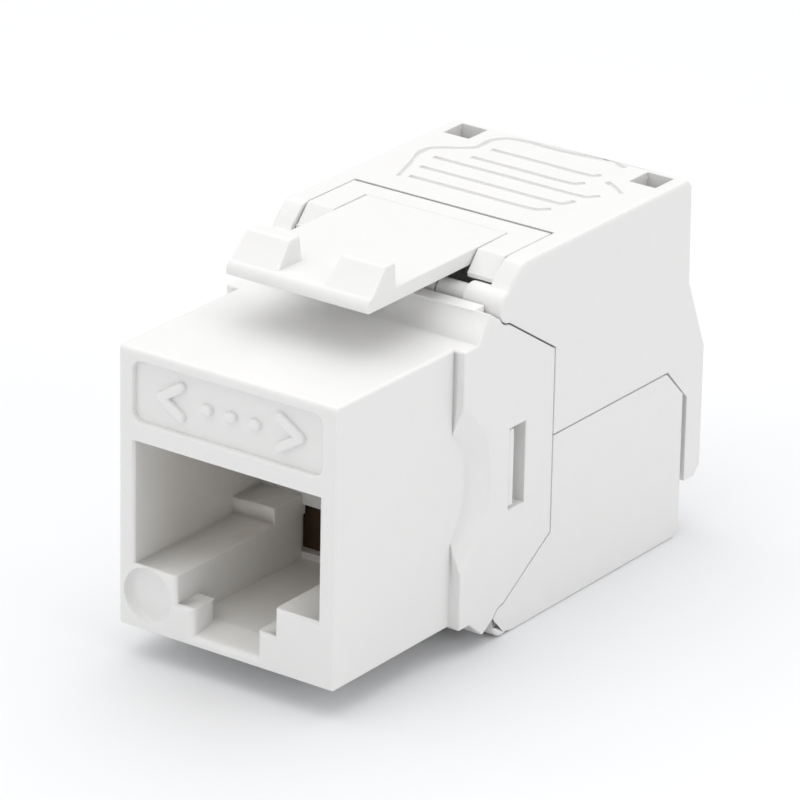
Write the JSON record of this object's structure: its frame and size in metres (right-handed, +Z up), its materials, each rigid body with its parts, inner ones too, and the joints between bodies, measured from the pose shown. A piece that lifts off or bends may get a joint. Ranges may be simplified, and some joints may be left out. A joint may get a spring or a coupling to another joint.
{
  "type": "tool-less keystone network jack",
  "caption": "Snap-in modular network jack with a front plug port, a spring latch on top and two hinged wings that squeeze shut over its wire terminals.",
  "frame": {"origin": "middle of the underside of the object's box: level with the lower wing's flat face, half way from the front face to the rear of the upper wing's leg", "axes": "+X to the right seen from the front, +Y from the plug port to the cable entry, +Z up towards the latch"},
  "size_m": [0.016, 0.034, 0.0229],
  "materials": {
    "white_plastic": "fine moulded satin",
    "natural_plastic": "moulded satin, undyed",
    "board_laminate": "solder mask",
    "gold_plate": "gold-plated spring wire",
    "tin_plate": "tin-plated stamping",
    "pin_steel": "drawn wire"
  },
  "bodies": {
    "housing": {"front_housing": "white_plastic", "terminal_frame": "white_plastic", "contact_carrier": "natural_plastic", "circuit_board": "board_laminate", "upper_hinge_pin": "pin_steel", "lower_hinge_pin": "pin_steel", "jack_contact_1": "gold_plate", "jack_contact_2": "gold_plate", "jack_contact_3": "gold_plate", "jack_contact_4": "gold_plate", "jack_contact_5": "gold_plate", "jack_contact_6": "gold_plate", "jack_contact_7": "gold_plate", "jack_contact_8": "gold_plate", "upper_terminal_1": "tin_plate", "upper_terminal_2": "tin_plate", "upper_terminal_3": "tin_plate", "upper_terminal_4": "tin_plate", "lower_terminal_1": "tin_plate", "lower_terminal_2": "tin_plate", "lower_terminal_3": "tin_plate", "lower_terminal_4": "tin_plate"},
    "latch": {"latch_tab": "white_plastic"},
    "upper_wing_body": {"upper_wing": "white_plastic", "upper_wire_guide": "natural_plastic"},
    "lower_wing_body": {"lower_wing": "white_plastic", "lower_wire_guide": "natural_plastic"}
  },
  "joints": [
    {"name": "upper_wing_hinge", "type": "hinge", "parent": "housing", "child": "upper_wing_body", "pos_m": [0, -0.0025, 0.01935], "axis": [1, 0, 0], "range_deg": [0, 60]},
    {"name": "lower_wing_hinge", "type": "hinge", "parent": "housing", "child": "lower_wing_body", "pos_m": [0, -0.0025, 0.00095], "axis": [-1, 0, 0], "range_deg": [0, 60]},
    {"name": "latch_flex", "type": "hinge", "parent": "housing", "child": "latch", "pos_m": [0, 0.0016, 0.02112], "axis": [1, 0, 0], "range_deg": [0, 6], "stiffness_Nm_per_rad": 0.1}
  ],
  "couplings": [
    {"joint": "lower_wing_hinge", "follows": "upper_wing_hinge", "ratio": 1}
  ]
}
